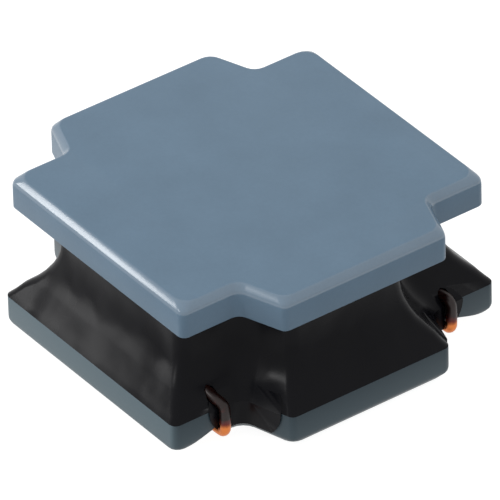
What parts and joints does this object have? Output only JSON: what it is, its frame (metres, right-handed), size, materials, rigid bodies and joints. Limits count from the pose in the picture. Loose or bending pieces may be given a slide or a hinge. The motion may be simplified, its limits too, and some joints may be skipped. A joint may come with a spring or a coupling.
{
  "type": "shielded smd inductor",
  "caption": "Low square power inductor for surface mounting: notched ferrite drum core, wound with enamelled copper wire and sealed with dark magnetic resin.",
  "frame": {"origin": "centre of the underside, on the plane of the soldered lands", "axes": "+X towards the two corner notches that carry the wire ends, +Y towards the start terminal, +Z away from the board"},
  "size_m": [0.006, 0.0058, 0.0027],
  "materials": {
    "ferrite": "fine-ground matte sintered ferrite, blue-grey",
    "enamelled_copper": "clear reddish enamel over copper",
    "magnetic_resin": "glossy near-black epoxy filled with magnetic powder",
    "metallised_layer": "matte fired silver and nickel layer",
    "solder": "satin solder"
  },
  "bodies": {
    "root": {"drum_core": "ferrite", "winding": "enamelled_copper", "resin_shield": "magnetic_resin", "terminal_start": "metallised_layer", "terminal_finish": "metallised_layer", "solder_start": "solder", "solder_finish": "solder"}
  },
  "joints": []
}
